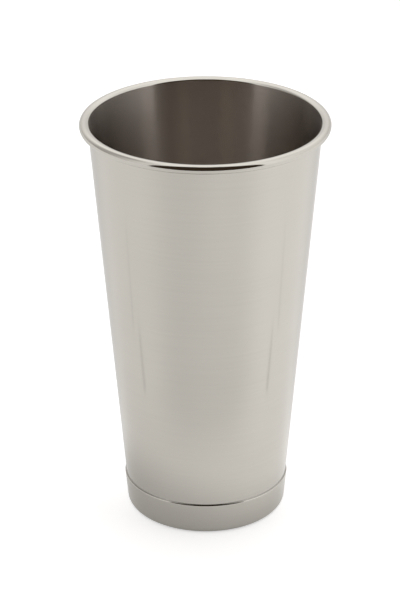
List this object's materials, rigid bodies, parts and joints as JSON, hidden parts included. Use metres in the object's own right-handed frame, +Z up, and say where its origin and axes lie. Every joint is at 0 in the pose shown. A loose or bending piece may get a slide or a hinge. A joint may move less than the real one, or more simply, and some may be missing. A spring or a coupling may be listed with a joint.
{
  "type": "deep drawn metal cup",
  "caption": "Tall tapered cup drawn from one steel sheet, with a rolled hollow rim, a stepped foot band and a recessed base, for mixing drinks.",
  "frame": {"origin": "on the cup's axis, at the plane that its standing ring rests on", "axes": "+Z up the axis towards the mouth; the cup is round, so +X and +Y are any two directions square to it"},
  "size_m": [0.1016, 0.1016, 0.1726],
  "materials": {
    "steel": "bright polished stainless sheet, softer and finely lined inside"
  },
  "bodies": {
    "root": {"cup": "steel"}
  },
  "joints": []
}
